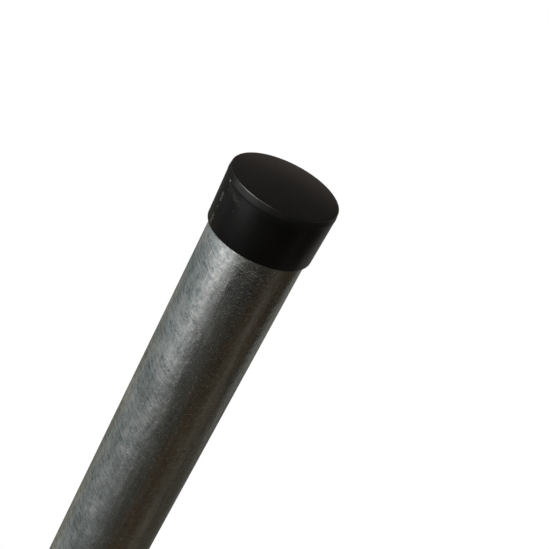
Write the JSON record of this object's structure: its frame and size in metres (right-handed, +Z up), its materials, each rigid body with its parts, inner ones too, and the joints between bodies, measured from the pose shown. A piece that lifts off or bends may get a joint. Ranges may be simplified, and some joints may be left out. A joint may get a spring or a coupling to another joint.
{
  "type": "metal fence post",
  "caption": "Round galvanised steel fence post: a straight hollow tube that is set in the ground, closed at its top by a black push-on plastic cap.",
  "frame": {"origin": "centre of the tube's foot end", "axes": "+Z up along the tube, from its foot towards the cap; X and Y are free, because the post is round"},
  "size_m": [0.0532, 0.0532, 1.5044],
  "materials": {
    "galvanised_steel": "hot-dip zinc coat, satin grey with fine mottling, small pits and scratches",
    "black_plastic": "satin moulded black plastic with light scuffs"
  },
  "bodies": {
    "root": {"post_tube": "galvanised_steel", "post_cap": "black_plastic"}
  },
  "joints": []
}
